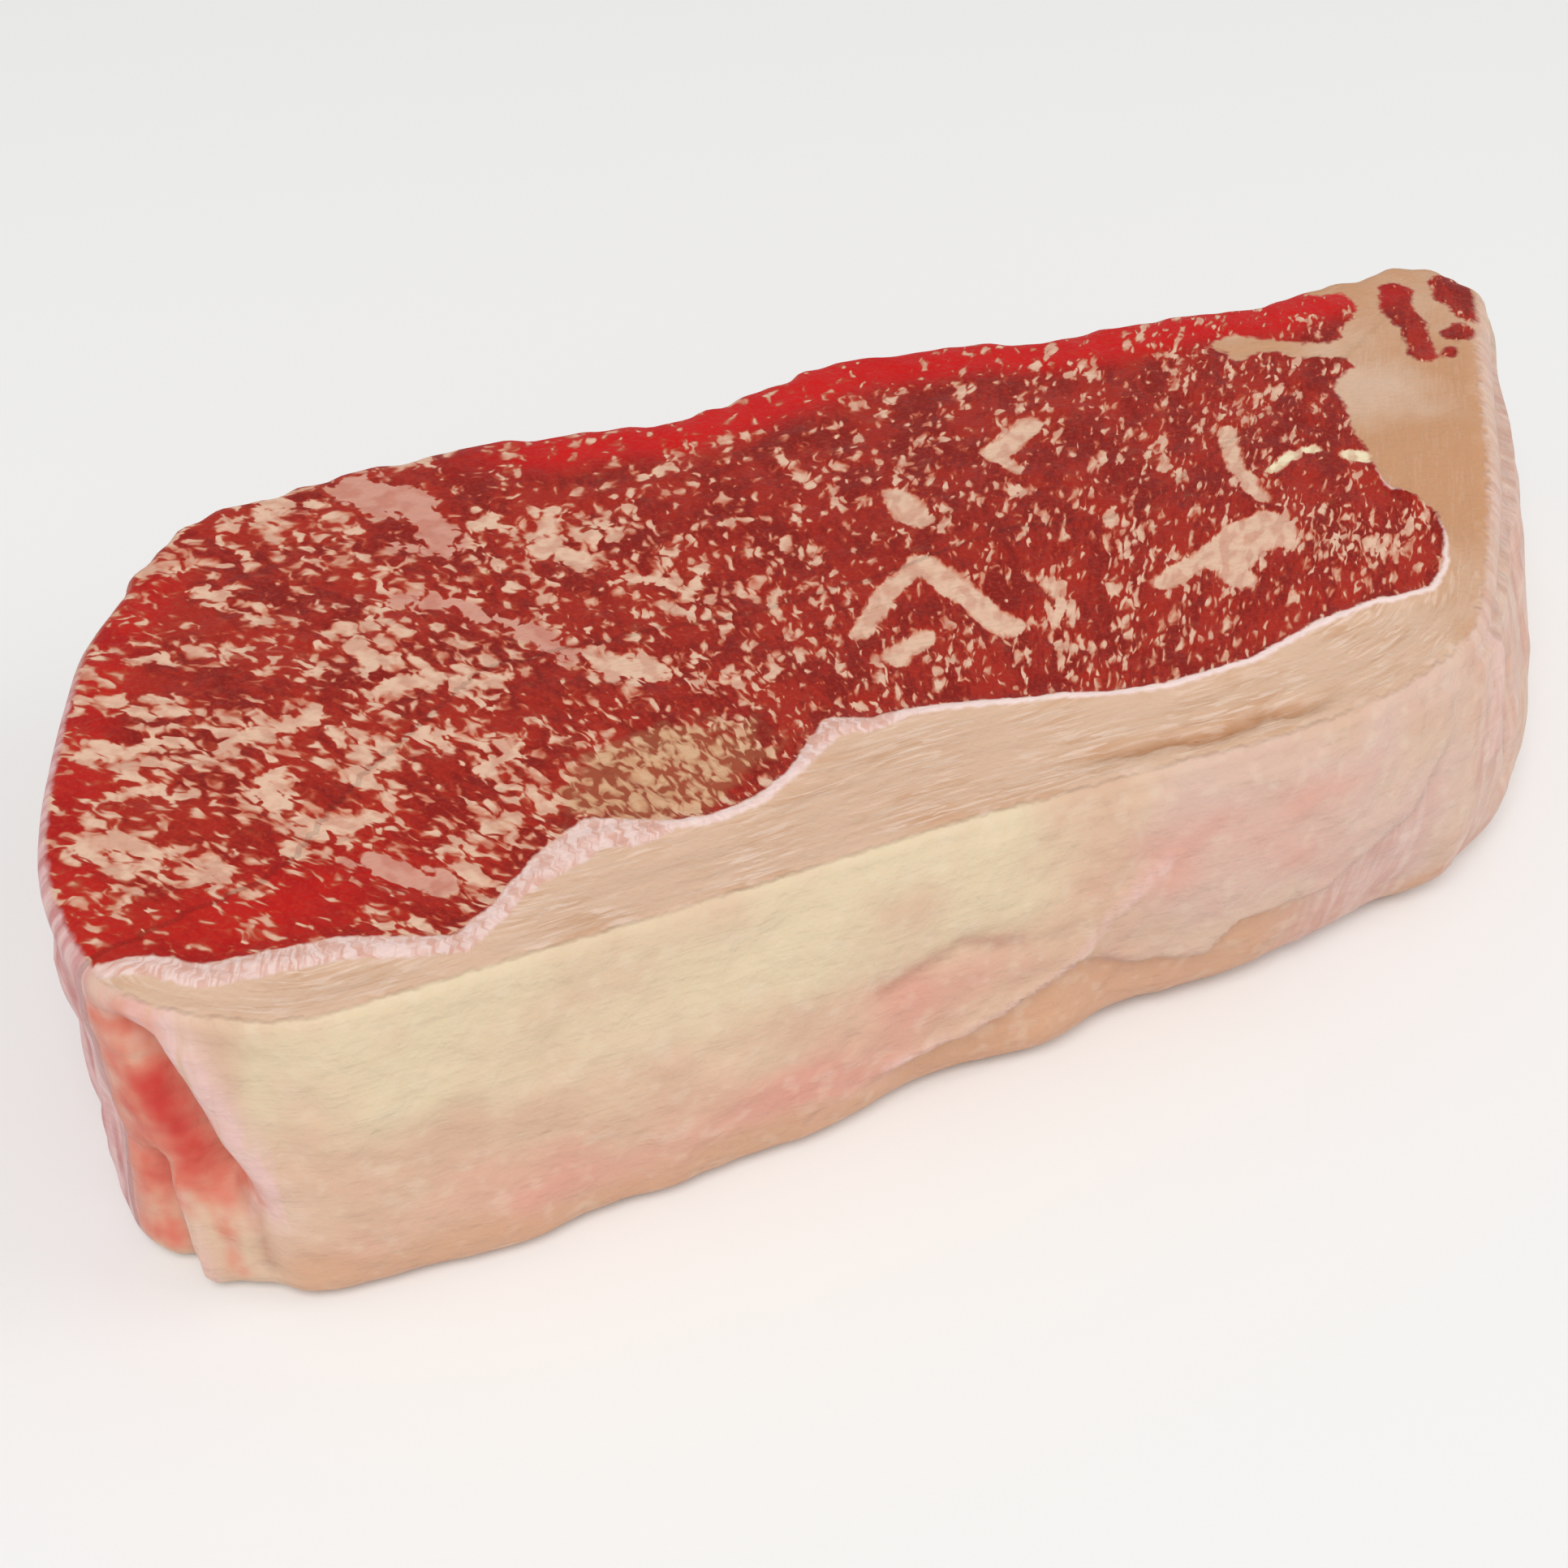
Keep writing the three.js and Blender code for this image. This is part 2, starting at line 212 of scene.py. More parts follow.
# Seams of fat in the lean, also as half-width, then x and y of each point of their line.
SEAMS = [
    (2, -88.5, 9, -80.5, 7), (1.6, -88, 1, -82, -1.5), (2.2, -76, 3, -67.5, 4.2),
    (2.4, -59, 4, -56, 3.5), (1.2, -64.5, 18, -64.5, 9), (1.4, -69, 26, -66.5, 26),
    (1.5, -74, 20, -68, 17.5), (1.3, -52, 4, -52, 0.5), (1.2, -84, 17.5, -81, 12),
    (1.1, -79, 15, -77.5, 10), (1.6, -58, 44, -58, 34), (1.2, -63.5, 40, -62.5, 31),
    (1.2, -71, 35.5, -65, 34), (1.2, -55, 28.5, -53, 29), (1.4, -57, 16, -50.5, 15.5),
    (1.5, -60, 15.5, -59.5, 15.5), (1.8, -38.5, 26, -35, 21.5), (2.3, -33, 18, -31, 15),
    (0.9, -30, 14, -27.5, 10.5), (1.3, -29, 25.5, -27, 21, -26.5, 18), (0.9, -25, 23, -26.5, 20),
    (2.3, -27.5, 8.5, -26, 7), (1.6, -28, 4, -26.5, 0.5), (2.2, -74.5, -4.5, -74.5, -7.5),
    (1.6, -73, -12, -66, -13.5), (2.3, -56, -12.5, -52, -12.5), (0.9, -54.5, -16, -54, -21.5),
    (0.6, -85, -12, -78, -14, -73, -16), (1.2, -92, -5, -90.5, -12), (1.4, -88, -11.5, -87, -12.5),
    (1.6, -58.5, -5, -58, -7.5), (2.6, -38, -3, -34, -6.5), (1.1, -31.5, -8, -29, -13),
    (1, -2.5, 19, -2, 15.5), (0.9, -1, 12.5, 3.5, 16.5), (0.7, 6, 14.5, 8.5, 12),
    (0.9, 15, 2.5, 18.5, 1), (0.9, 38, 4, 35, -3), (1.5, -19, 27.5, -16.5, 26.5),
    (0.9, -14.5, 26.5, -10.5, 31), (0.9, -23, 20, -21, 22.5), (0.7, -6.5, 14, -5.3, 11),
    (0.9, -10.3, 7.5, -8.8, 3), (0.8, -18.2, 2.5, -16.8, -3), (0.9, 11, 21, 12, 19),
    (0.8, 16.5, 17.5, 18.5, 14.5), (0.7, 6, 20.5, 8, 23), (1.5, 50, 20, 52.5, 18.2),
    (0.9, 38.5, 20.5, 41, 22), (1, 47, 13.5, 49, 17), (0.9, 57, 12, 53, 10),
    (1.3, -18.6, -22.5, -18.2, -23.5), (0.9, 22, -4, 24, -8, 24, -14, 25, -17),
    (0.8, 27.6, -11, 26.3, -15), (0.7, 21.5, -12, 20.5, -14), (1, 5, -19.5, 9, -20),
    (1, 9.5, -12, 9, -17), (0.6, 42.5, -19, 48.5, -14), (1, 41, -23.5, 46.5, -22),
    (1.3, 44, -27, 47, -26), (0.7, 52, -17, 55, -17), (0.7, 52, -25.5, 55, -24),
    (1.2, 71, 19.6, 71.4, 17.2, 74.2, 17), (1.3, 39, 21.5, 40.5, 18.5), (1, 36, -22.5, 39, -21.5),
    (0.8, 56, 6, 58.5, 4), (0.8, 3.5, -22, 7, -26),
]

# Broad seams that are tinted pink.
PINK_SEAMS = [
    (1.7, -51.5, 17.5, -47.5, 14.5, -43.5, 9, -41.5, 4, -40.5, 0), (2.4, -71, -19.5, -66.5, -25),
    (3.8, -47, 41, -44, 35), (2.9, -44, 33, -43.5, 26), (1.8, -47.5, 27, -43, 24),
]

# Pieces of fat with clean edges: the diamond, the angular one beside it, the bent pair in
# front of them and the large patch towards the tail.
CRISP_SEAMS = [
    (2, 4.6, 7.2, 4.4, 4.4), (1.4, 4.7, 9.2, 4.6, 2.4), (1.9, 26.6, 13.6, 23, 11.6, 19.6, 9.8),
    (1.3, 19.8, 9.5, 19.6, 6), (1.3, -12, -11.8, -5, -6.2, 0, -4),
    (1.8, 0.2, -5, 0.8, -12, 1.8, -18.5), (1.6, -11.5, -17.7, -7, -16),
    (1.6, 21.5, -20, 27, -19, 33, -17, 39, -16.5), (2.4, 29, -20.5, 38, -18.5),
    (1.7, 28.5, -21.5, 28.5, -24.5), (1.3, 47, 1, 42.3, -6, 41, -12.5),
]

# Small cream-coloured glints with clean edges.
CREAM_GLINTS = [
    (1.3, 56, -10.5, 58.5, -13.5), (0.8, 45.5, -8.5, 50, -7), (0.9, 52, -7.3, 53, -7.5),
]


def ease(value):
    value = np.clip(value, 0.0, 1.0)
    return value * value * (3.0 - 2.0 * value)


def span(value, low, rise, high, fall):
    """1 between low and high and 0 beyond, with a soft rise past low and a fall before high."""
    return ease((value - low) / rise) * ease((high - value) / fall)


def spot(x, y, at_x, at_y, half_x, half_y):
    """Soft spot: 1 in its middle, nearly 0 at twice its half-sizes."""
    return np.exp(-(((x - at_x) / half_x) ** 2 + ((y - at_y) / half_y) ** 2))


def smooth_noise(x, y, seed, cells=64):
    """Noise from -1 to 1 with one cell per unit, repeating every so many cells along x."""
    table = np.random.default_rng(seed).uniform(-1.0, 1.0, (cells, 64))
    left, low = np.floor(x).astype(int), np.floor(y).astype(int)
    across, up = ease(x - left), ease(y - low)
    corner = [[table[(left + i) % cells, (low + j) % 64] for j in (0, 1)] for i in (0, 1)]
    lower = corner[0][0] * (1 - across) + corner[1][0] * across
    upper = corner[0][1] * (1 - across) + corner[1][1] * across
    return lower * (1 - up) + upper * up


def line_distance(x, y, line):
    """Distance of each point from a line of straight pieces."""
    nearest = np.full(np.shape(x), 1e9)
    for (ax, ay), (bx, by) in zip(line[:-1], line[1:]):
        dx, dy = bx - ax, by - ay
        along = ((x - ax) * dx + (y - ay) * dy) / (dx * dx + dy * dy)
        along = np.clip(along, 0.0, 1.0)
        nearest = np.minimum(nearest, np.hypot(x - ax - along * dx, y - ay - along * dy))
    return nearest


def inside(x, y, ring):
    """True for points within a closed ring."""
    hit = np.zeros(np.shape(x), bool)
    for (ax, ay), (bx, by) in zip(ring, ring[1:] + ring[:1]):
        if ay == by:
            continue
        crosses = (ay > y) != (by > y)
        hit ^= crosses & (x < ax + (y - ay) * (bx - ax) / (by - ay))
    return hit


class Rim:
    """The outline as a smooth closed curve, at even steps along its length."""

    def __init__(self, count):
        knots = np.array(OUTLINE, float)
        part = np.linspace(0.0, 1.0, 44, endpoint=False)[:, None]
        pieces = []
        for i in range(len(knots)):
            before, start = knots[i - 1], knots[i]
            end, after = knots[(i + 1) % len(knots)], knots[(i + 2) % len(knots)]
            bend = 2 * before - 5 * start + 4 * end - after
            swing = 3 * start - before - 3 * end + after
            slope = end - before
            pieces.append(0.5 * (2 * start + slope * part + bend * part**2 + swing * part**3))
        curve = np.vstack(pieces + [knots[:1]])
        steps = np.hypot(*np.diff(curve, axis=0).T)
        length = np.concatenate([[0.0], np.cumsum(steps)])
        self.perimeter = length[-1]
        self.s = np.arange(count) * self.perimeter / count
        self.round = 100.0 * np.arange(count) / count
        self.points = self.at(self.s, length, curve)
        ahead, behind = self.at(self.s + 0.3, length, curve), self.at(self.s - 0.3, length, curve)
        tangent = ahead - behind
        tangent /= np.hypot(*tangent.T)[:, None]
        self.outward = np.stack([tangent[:, 1], -tangent[:, 0]], axis=1)

    def at(self, s, length, curve):
        s = np.mod(s, self.perimeter)
        return np.stack([np.interp(s, length, curve[:, k]) for k in (0, 1)], axis=1)


class Places:
    """Places on the side, as hundredths of the way round and depth below the upper face."""

    def __init__(self, rim, s, depth):
        self.s, self.depth = s, depth
        self.perimeter = rim.perimeter
        self.round = 100 * s / rim.perimeter

    def noise(self, cells, height, seed, slant=0.0):
        """Noise with so many cells round the rim, each so many millimetres high."""
        x = self.s * cells / self.perimeter + self.depth * slant
        return smooth_noise(x, self.depth / height, seed, cells)

    def mark(self, line, half):
        """Soft mark along a line of (hundredths round, depth): 1 on it, 0 well away from it."""
        scaled = [(at * self.perimeter / 100, down) for at, down in line]
        return np.exp(-((line_distance(self.s, self.depth, scaled) / half) ** 2))

    def spot(self, at, down, width, height):
        """Soft spot, with half-sizes in hundredths round and in millimetres."""
        gap = np.mod(self.round - at + 50, 100) - 50
        return spot(gap, self.depth, 0, down, width, height)


def sections_at(round_):
    """Stand-out levels and edge radii at places round the rim, one row for each."""
    table = np.array(SECTIONS, float)
    index = np.clip(np.searchsorted(table[:, 0], round_, side="right") - 1, 0, len(table) - 2)
    low, high = table[index], table[index + 1]
    part = ease((round_ - low[:, 0]) / (high[:, 0] - low[:, 0]))[:, None]
    return low[:, 1:] * (1 - part) + high[:, 1:] * part


def stand_out(section, depth):
    """Smooth curve through the rim and the five levels of each section."""
    zero = np.zeros(len(section))
    levels = [zero] + [section[:, k] for k in range(5)]
    knots = np.stack([2 * levels[0] - levels[1]] + levels + [2 * levels[5] - levels[4]])
    part = np.clip(depth / THICKNESS, 0.0, 1.0) * 5
    i = np.minimum(4, np.floor(part)).astype(int)
    f = part - i
    place = np.arange(len(section))
    p0, p1, p2, p3 = [knots[i + k, place] for k in range(4)]
    curve = 2 * p0 - 5 * p1 + 4 * p2 - p3
    return 0.5 * (2 * p1 + (p2 - p0) * f + curve * f * f + (3 * p1 - p0 - 3 * p2 + p3) * f**3)


def fold_relief(places):
    return sum(height * places.mark(line, half) for line, half, height in FOLDS)


def flap_depth(round_):
    """Depth of the flap's lower edge, and how strongly it shows there."""
    edge = np.array(FLAP_EDGE)
    return np.interp(round_, edge[:, 0], edge[:, 1]), span(round_, 15.5, 2, 30.8, 1.5)


def flap_relief(places):
    edge, fade = flap_depth(places.round)
    return -FLAP_SETBACK * fade * ease(places.depth - edge + 0.5)


def pleat_relief(places):
    wave = np.sin(places.round * 4.1 + places.depth * 0.09) * np.sin(places.depth * 0.16 + 0.8)
    return END_PLEAT * span(places.round, 88, 3, 100.5, 1.5) * wave


def rim_wave(places):
    """How far the trimmed back's upper edge stands out, in waves and in small steps."""
    round_ = places.round
    cut = np.sin(round_ * 1.9) + 0.7 * np.sin(round_ * 3.7 + 1) + 0.5 * np.sin(round_ * 6.1)
    uneven = 0.55 + 0.45 * places.noise(32, 1, 8)
    small = places.noise(90, 1, 9) + 0.5 * places.noise(240, 1, 10)
    return (RIM_WAVE * cut * uneven + 0.3 * small) * span(round_, 46, 3, 90, 4)


def foot_swell(round_):
    return sum(height * np.exp(-(((round_ - at) / half) ** 2)) for at, half, height in FOOT_SWELLS)


def top_height(x, y, round_, reach):
    """Height of the upper face; reach is 1 at the rim and 0 in the middle."""
    swell = np.sin(x / 13 + 0.4) * np.cos(y / 9 - 0.3) + 0.5 * np.sin((x - y) / 7)
    drop = CAP_DROP * span(round_, 17, 5, 41, 5) * ease((reach - 0.72) / 0.28)
    return THICKNESS + LEAN_SWELL * swell * (1 - 0.6 * reach) - drop


def wrinkles(places):
    """Fine unevenness of the side, with upright fibres at both ends."""
    round_ = places.round
    ends = ease((round_ - 87) / 4) + ease((4 - round_) / 3) + span(round_, 31, 3, 48, 3)
    pits = span(round_, 3, 2, 31, 3) * ease((places.noise(130, 4.5, 7) - 0.45) / 0.4)
    relief = CREASE_HEIGHT * places.mark(SKIN_CREASE, 0.9) - PIT_DEPTH * pits
    relief += 0.3 * places.noise(60, 9, 3) + 0.17 * places.noise(200, 3.1, 4)
    relief += 0.13 * ends * places.noise(330, 12, 5, 0.05)
    return relief + 0.35 * span(round_, 47, 3, 88, 3) * places.noise(170, 7, 6)


class Side:
    """The steak's side as a grid of rows from the upper cut face down to the lower one."""

    def __init__(self, rim):
        self.rim = rim
        self.sections = sections_at(rim.round)
        foot, self.upper = self.sections[:, 5], self.sections[:, 6]
        self.start = rim.points + rim.outward * rim_wave(Places(rim, rim.s, 0 * rim.s))[:, None]
        top = top_height(self.start[:, 0], self.start[:, 1], rim.round, 1.0)
        self.rows, self.depths, self.faces = [], [], []
        for i in range(RIM_STEPS):
            angle = i / RIM_STEPS * math.pi / 2
            fall = self.upper * (1 - math.cos(angle))
            self.put(self.upper * (math.sin(angle) - 1), top - fall, i / RIM_STEPS)
        first, last = THICKNESS - top + self.upper, THICKNESS - foot
        self.put(0.0, THICKNESS - first, 1.0)
        for i in range(1, WALL_STEPS + 1):
            depth = first + (last - first) * i / WALL_STEPS
            self.put(self.side_at(depth), THICKNESS - depth, 1.0)
        side = self.side_at(last)
        for i in range(1, FOOT_STEPS + 1):
            angle = i / FOOT_STEPS * math.pi / 2
            out = side - foot * (1 - math.cos(angle))
            self.put(out, foot * (1 - math.sin(angle)), 1.0 - max(0.0, i / FOOT_STEPS * 2 - 1))
        self.rows = np.array(self.rows)
        self.depths = np.array(self.depths)
        self.faces = 1.0 - np.array(self.faces)

    def side_at(self, depth):
        """How far the side stands out from the rim at this depth."""
        places = Places(self.rim, self.rim.s, depth)
        relief = fold_relief(places) + flap_relief(places) + pleat_relief(places) + wrinkles(places)
        swell = foot_swell(self.rim.round) * ease((depth - 22) / 12)
        return stand_out(self.sections, depth) + relief * ease((depth - self.upper) / 3) + swell

    def put(self, out, z, side):
        place = self.start + self.rim.outward * np.broadcast_to(out, z.shape)[:, None]
        self.rows.append(np.column_stack([place, z]))
        self.depths.append(THICKNESS - z)
        self.faces.append(np.full(z.shape, side))


def fill_ring(ring, pitch):
    """Points and triangles that fill a closed ring on an even, slightly staggered grid."""
    low, high = ring.min(axis=0), ring.max(axis=0)
    columns = np.arange(low[0], high[0], pitch)
    lines = np.arange(low[1], high[1], pitch * 0.87)
    x, y = np.meshgrid(columns, lines)
    x = x + (np.arange(len(lines)) % 2)[:, None] * pitch / 2
    x, y = x.ravel(), y.ravel()
    closed = [tuple(p) for p in ring]
    keep = inside(x, y, closed)
    x, y = x[keep], y[keep]
    clear = line_distance(x, y, closed + closed[:1]) > pitch * 0.6
    points = np.vstack([ring, np.column_stack([x[clear], y[clear]])])
    made, _, triangles, sources, _, _ = geometry.delaunay_2d_cdt(
        [Vector(p) for p in points], [], [list(range(len(ring)))], 1, 1e-5, True
    )
    if len(made) != len(points):
        raise ValueError("the ring's filling has merged points")
    order = np.array([source[0] for source in sources])
    triangles = order[np.array(triangles)]
    middle = points[triangles].mean(axis=1)
    return points, triangles[inside(middle[:, 0], middle[:, 1], closed)].tolist()


def rim_reach(rim, start, x, y):
    """For points of a cut face: place round the rim, and reach from the middle to it."""
    angle = np.unwrap(np.arctan2(start[:, 1], start[:, 0]))
    radius = np.hypot(start[:, 0], start[:, 1])
    turn = 2 * math.pi
    angle = np.concatenate([angle - turn, angle, angle + turn])
    around = np.concatenate([rim.round - 100, rim.round, rim.round + 100])
    here = np.arctan2(y, x)
    here = np.where(here < angle[len(start)] - 1e-9, here + turn, here)
    round_ = np.mod(np.interp(here, angle, around), 100.0)
    limit = np.interp(here, angle, np.tile(radius, 3))
    return round_, np.hypot(x, y) / limit


def nearest_rim(rim, ring, x, y, batch=4000):
    """For points of a cut face: distance along the rim and distance in from it."""
    s = np.empty(len(x))
    inset = np.empty(len(x))
    for first in range(0, len(x), batch):
        part = slice(first, first + batch)
        gap = np.hypot(x[part, None] - ring[None, :, 0], y[part, None] - ring[None, :, 1])
        nearest = gap.argmin(axis=1)
        s[part] = rim.s[nearest]
        inset[part] = gap[np.arange(len(nearest)), nearest]
    return s, inset


def seam_depth(x, y, seam):
    """How far inside one seam of the tables a point lies, negative outside it."""
    half, *line = seam
    return half - line_distance(x, y, list(zip(line[::2], line[1::2])))


def seam_field(x, y, seams):
    """How far inside the nearest seam a point lies, negative outside all of them."""
    field = np.full(np.shape(x), -6.0)
    for seam in seams:
        field = np.maximum(field, seam_depth(x, y, seam))
    return field


def cap_distance(x, y):
    """Distance into the fat of cap and tail, negative in the lean."""
    distance = line_distance(x, y, LEAN_EDGE + LEAN_EDGE[:1])
    cap = np.where(inside(x, y, LEAN_EDGE), -distance, distance)
    for island in LEAN_ISLANDS:
        cap = np.minimum(cap, -seam_depth(x, y, island))
    return cap


def wavy(x, y, amount, size, seed):
    """Places moved to and fro, so that what is drawn straight comes out uneven."""
    return (
        x + amount * smooth_noise(x / size, y / size, seed),
        y + amount * smooth_noise(x / size, y / size, seed + 1),
    )


def silver_width(x):
    at, width = np.array(SILVER_WIDTHS).T
    return np.interp(x, at, width)


def grain_coordinates(x, y, z):
    """Across, along and through the muscle fibres, which lean more towards the tail."""
    start = x.copy()
    for _ in range(12):
        lean = -0.45 + 1.25 * ease((start + 98) / 150)
        start = 0.5 * (start + x - lean * (y + 5))
    return np.column_stack([start + 0.0008 * start**2, y * (1 + 0.0016 * x), z])


def lean_back(x, y):
    """The strip along the back that has little marbling."""
    return ease((y - 20) / 12) * ease((x + 42) / 16)


def fatness(x, y):
    """How rich the marbling is, on a scale of its own: most at the left, little at the back."""
    share = 1.0 - 0.45 * ease((x + 55) / 35) - 0.1 * ease((x - 10) / 50) - 0.55 * lean_back(x, y)
    share += 0.15 * ease((-18 - y) / 8) * ease((x - 5) / 15) - 0.8 * ease((x - 74) / 4)
    share -= 0.5 * ease((x - 62) / 6) * ease((y - 8) / 4)
    for at_x, at_y, half_x, half_y, change in FAT_PATCHES:
        share += change * spot(x, y, at_x, at_y, half_x, half_y)
    return share + 0.1 * smooth_noise(x / 12, y / 9, 11)


class Skin:
    """All points of the visual mesh with what its materials need to know at each."""

    def __init__(self):
        self.rim = Rim(AROUND)
        side = Side(self.rim)
        self.rows = len(side.rows)
        top_ring, foot_ring = side.rows[0][:, :2], side.rows[-1][:, :2]
        top, self.top_faces = fill_ring(top_ring, TOP_GRID)
        under, self.under_faces = fill_ring(foot_ring, UNDER_GRID)
        top, under = top[AROUND:], under[AROUND:]
        self.first_top = self.rows * AROUND
        self.first_under = self.first_top + len(top)
        self.place_points(side, top_ring, foot_ring, top, under)
        self.lay_pattern(side, top, under)
        self.shape_top(slice(self.first_top, self.first_under))

    def place_points(self, side, top_ring, foot_ring, top, under):
        """Points, and for each its place along the rim and how far down or in it lies."""
        tx, ty = top.T
        ux, uy = under.T
        round_, reach = rim_reach(self.rim, top_ring, tx, ty)
        top_s, inset = nearest_rim(self.rim, top_ring, tx, ty)
        under_s, under_inset = nearest_rim(self.rim, foot_ring, ux, uy)
        upper = np.column_stack([tx, ty, top_height(tx, ty, round_, reach)])
        lower = np.column_stack([ux, uy, 0 * ux])
        self.points = np.vstack([side.rows.reshape(-1, 3), upper, lower])
        self.s = np.concatenate([np.tile(self.rim.s, self.rows), top_s, under_s])
        self.down = np.concatenate([side.depths.ravel(), -inset, THICKNESS + under_inset])
        self.face = np.concatenate([side.faces.ravel(), np.ones(len(tx) + len(ux))])

    def lay_pattern(self, side, top, under):
        """Where each point lies in the cut face's pattern, and how deep in each kind of fat."""
        # The side takes its pattern from the cut face's margin, as if that was folded down.
        inward = 0.8 + 0.45 * np.clip(side.depths, 0, THICKNESS)
        rim_xy = self.rim.points[None] - self.rim.outward[None] * inward[:, :, None]
        self.plan = np.vstack([rim_xy.reshape(-1, 2), top, under])
        # On the rounded edges the cut face's own place is used, so that its pattern isn't smeared.
        edge = np.flatnonzero(side.faces > 0)
        self.plan[edge] = self.points[edge, :2]
        x, y = self.plan.T
        self.cap = cap_distance(x, y)
        self.seam = seam_field(*wavy(x, y, 1.3, 3.4, 51), SEAMS + PINK_SEAMS)
        self.seam += 0.5 * smooth_noise(x / 2.4, y / 3.8, 53)
        self.crisp = seam_field(*wavy(x, y, 0.45, 2.6, 55), CRISP_SEAMS + CREAM_GLINTS)
        self.groove = np.zeros(len(x))

    def shape_top(self, part):
        """Fine relief of the upper cut face."""
        x, y = self.plan[part].T
        cap, s, inset = self.cap[part], self.s[part], -self.down[part]
        width = silver_width(x)
        ridge = np.exp(-(((cap - width / 2) / (width / 2 + 0.35)) ** 2)) * (width > 0.05)
        streaks = smooth_noise(s / 9, inset / 0.85, 21) + 0.6 * smooth_noise(s / 4, inset / 0.5, 22)
        strip = ease(cap / 1.5) * ease((110 - x) / 60)
        seam = ease(np.maximum(self.seam[part], self.crisp[part]) / 0.8 + 0.5)
        bumps = smooth_noise(x / 2.6, y / 3.2, 23) + 0.5 * smooth_noise(x / 1.2, y / 1.5, 24)
        lean = 1 - ease(cap / 0.8 + 0.5)
        run = inset - 2.2 - 0.6 * smooth_noise(s / 3, 0 * s, 25)
        groove = span(100 * s / self.rim.perimeter, 20.5, 2, 28, 2) * np.exp(-((run / 0.8) ** 2))
        relief = SILVER_RIDGE * ridge + 0.13 * streaks * strip - GROOVE_DEPTH * groove
        relief += lean * (0.13 * bumps + 0.12 * (1 - seam))
        self.groove[part] = groove
        self.points[part, 2] += relief * ease(inset / 1.2)


def membrane_and_highlight_tint(places):
    """Thin pale membrane on the cleft's lip and along the skin's raised line, with painted highlight
    on raised folds.
    """
    membrane_and_highlight = 1.1 * places.mark(CLEFT_LIP, 3.0) + 0.8 * places.mark(SKIN_CREASE, 0.8)
    membrane_and_highlight += 0.8 * places.spot(1.0, 3, 1.0, 4) + 0.6 * places.spot(99.4, 14, 0.5, 10)
    # Raised folds get a pale strip along their ridges: painted highlight.
    for line, half, height in FOLDS:
        if height > 0:
            membrane_and_highlight += 0.7 * places.mark(line, half * 0.7)
    return membrane_and_highlight


def crease_shade_tint(places, mottle):
    """Painted shade: dark lines along the flap's lower edge and in the sunken folds."""
    edge, fade = flap_depth(places.round)
    crease_shade = 0.5 * fade * np.exp(-(((places.depth - edge) / 0.55) ** 2)) * (0.6 + 0.4 * mottle)
    for line, half, height in FOLDS:
        if height < 0:
            crease_shade = np.maximum(crease_shade, 0.55 * places.mark(line, half * 0.45))
    return crease_shade


def blood_tint(places, mottle):
    blood = np.max([share * places.mark(line, half) for share, half, line in BLOOD], axis=0)
    blood += 0.2 * mottle * ease(blood / 0.3)
    return np.maximum(blood, 0.45 * places.mark(CLEFT_SLIT, 1.7))


def side_tints(skin):
    """Where the side is creamy, rosy, tan, bloody or skinned over, with painted highlight on raised
    folds and painted shade in sunken folds.
    """
    depth = np.clip(skin.down, 0, THICKNESS)
    places = Places(skin.rim, skin.s, depth)
    round_ = places.round
    blotch, mottle = places.noise(48, 8, 31), places.noise(96, 4.2, 32)
    front = span(round_, 2.6, 1.5, 31, 2)
    creamy = front * ease((21 - depth) / 12) * (0.75 + 0.35 * blotch)
    creamy *= 1 - 0.95 * ease((round_ - 18.5) / 4)
    rosy = 0.35 * ease((depth - 17) / 12) * front + 0.18 * mottle + 0.1 * blotch
    for at, down, width, height, strength in ROSY_SPOTS:
        rosy += strength * places.spot(at, down, width, height)
    edge, fade = flap_depth(round_)
    under = fade * ease((depth - edge) / 1.2)
    tan = under * ease((27.5 - round_ + 0.2 * (depth - 20)) / 2.5)
    tan = np.maximum(tan, 0.75 * front * ease((depth - 27 - 2 * mottle) / 6))
    tan = np.maximum(tan, span(round_, 28, 3, 49, 4) * ease((depth - 29) / 4))
    right = np.maximum(ease((round_ - 30.6) / 1.2), under * ease((round_ - 25.5) / 2))
    return {
        "creamy": creamy, "rosy": rosy, "tan": tan, "membrane_and_highlight": membrane_and_highlight_tint(places),
        "whitish": span(round_, 20, 4, 32, 2) * (0.65 + 0.35 * blotch + 0.2 * mottle),
        "blood": blood_tint(places, mottle), "crease_shade": crease_shade_tint(places, mottle),
        "left_skin": ease((round_ - 88) / 4) + ease((0.6 - round_) / 0.8),
        "right_skin": right * ease((49 - round_) / 5) * (0.75 + 0.25 * blotch),
        "back": span(round_, 46.5, 3, 92, 4),
    }


